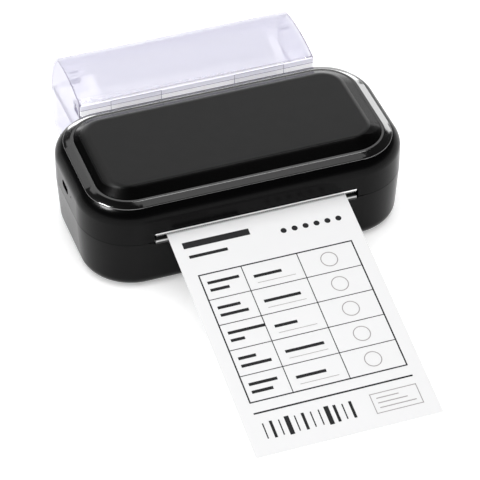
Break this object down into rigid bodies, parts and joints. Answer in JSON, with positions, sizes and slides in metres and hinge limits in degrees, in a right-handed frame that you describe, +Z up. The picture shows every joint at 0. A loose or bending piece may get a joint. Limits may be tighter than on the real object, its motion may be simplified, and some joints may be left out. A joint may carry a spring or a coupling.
{
  "type": "portable thermal printer",
  "caption": "Portable thermal printer with a hinged upper shell, serrated tear bar, printed sheet and a clear roll bin behind.",
  "frame": {"origin": "on the ground, under the middle of the whole model's bounding box", "axes": "+Z up, +Y towards the clear roll bin at the rear, +X to the right seen from the front, where the paper comes out"},
  "size_m": [0.188, 0.3086, 0.06],
  "materials": {
    "black_shell": "satin black moulding",
    "gloss_black": "polished black bevel",
    "pad_black": "fine matte black",
    "frame_black": "moulded black",
    "gear_white": "natural acetal",
    "steel": "bright steel",
    "bare_aluminium": "bare sheet",
    "rubber_black": "soft black rubber",
    "ceramic_head": "glazed strip",
    "board_green": "solder-masked board",
    "battery_wrap": "heat-shrink wrap",
    "clear_violet": "clear plastic with a pale violet tint",
    "paper_white": "smooth thermal paper",
    "card_core": "grey-brown card",
    "clear_light": "clear light pipe",
    "brass_bush": "sintered bush"
  },
  "bodies": {
    "base": {"lower_housing": "black_shell", "lower_lip": "bare_aluminium", "inner_frame": "frame_black", "paper_trough": "frame_black", "platen_bush_left": "brass_bush", "platen_bush_right": "brass_bush", "stepper_motor": "steel", "battery": "battery_wrap", "paper_sensor": "frame_black", "base_screws": "steel", "rubber_feet": "rubber_black", "hinge_pins": "steel", "printed_paper": "paper_white", "bin_tray": "clear_violet", "bin_hinge_pins": "steel"},
    "cover": {"upper_housing": "black_shell", "bevel_ring": "gloss_black", "top_pad": "pad_black", "tear_bar": "bare_aluminium", "print_head": "ceramic_head", "head_bracket": "bare_aluminium", "head_springs": "steel", "main_board": "board_green", "usb_receptacle": "steel", "status_light": "clear_light", "board_screws": "steel", "key_board": "board_green"},
    "platen": {"platen_shaft": "steel", "platen_rubber": "rubber_black", "platen_gear": "gear_white"},
    "idler": {"idler_gear": "gear_white"},
    "pinion": {"motor_pinion": "steel"},
    "roll": {"paper_roll": "paper_white", "roll_core": "card_core"},
    "guide_left": {"roll_guide_left": "clear_violet"},
    "guide_right": {"roll_guide_right": "clear_violet"},
    "bin_lid": {"bin_cover": "clear_violet"},
    "power": {"power_button": "black_shell"},
    "release": {"release_button": "black_shell"}
  },
  "joints": [
    {"name": "cover_hinge", "type": "hinge", "parent": "base", "child": "cover", "pos_m": [0, 0.08377, 0.0494], "axis": [-1, 0, 0], "range_deg": [0, 75]},
    {"name": "platen_spin", "type": "hinge", "parent": "base", "child": "platen", "pos_m": [0, 0.00257, 0.0309], "axis": [1, 0, 0], "continuous": true},
    {"name": "idler_spin", "type": "hinge", "parent": "base", "child": "idler", "pos_m": [0.062, 0.01673, 0.02562], "axis": [1, 0, 0], "continuous": true},
    {"name": "pinion_spin", "type": "hinge", "parent": "base", "child": "pinion", "pos_m": [0.062, 0.01157, 0.014], "axis": [1, 0, 0], "continuous": true},
    {"name": "roll_spin", "type": "hinge", "parent": "base", "child": "roll", "pos_m": [0, 0.11857, 0.0304], "axis": [1, 0, 0], "continuous": true},
    {"name": "guide_left_slide", "type": "slide", "parent": "base", "child": "guide_left", "axis": [-1, 0, 0], "range_m": [0, 0.007]},
    {"name": "guide_right_slide", "type": "slide", "parent": "base", "child": "guide_right", "axis": [1, 0, 0], "range_m": [0, 0.007]},
    {"name": "bin_lid_hinge", "type": "hinge", "parent": "base", "child": "bin_lid", "pos_m": [0, 0.15223, 0.02665], "axis": [-1, 0, 0], "range_deg": [0, 100]},
    {"name": "power_press", "type": "slide", "parent": "cover", "child": "power", "axis": [-1, 0, 0], "range_m": [0, 0.001], "stiffness_N_per_m": 300},
    {"name": "release_press", "type": "slide", "parent": "base", "child": "release", "axis": [-1, 0, 0], "range_m": [0, 0.002], "stiffness_N_per_m": 300}
  ],
  "couplings": [
    {"joint": "idler_spin", "follows": "platen_spin", "ratio": -0.78571},
    {"joint": "pinion_spin", "follows": "platen_spin", "ratio": 1.5714},
    {"joint": "roll_spin", "follows": "platen_spin", "ratio": -0.28}
  ]
}
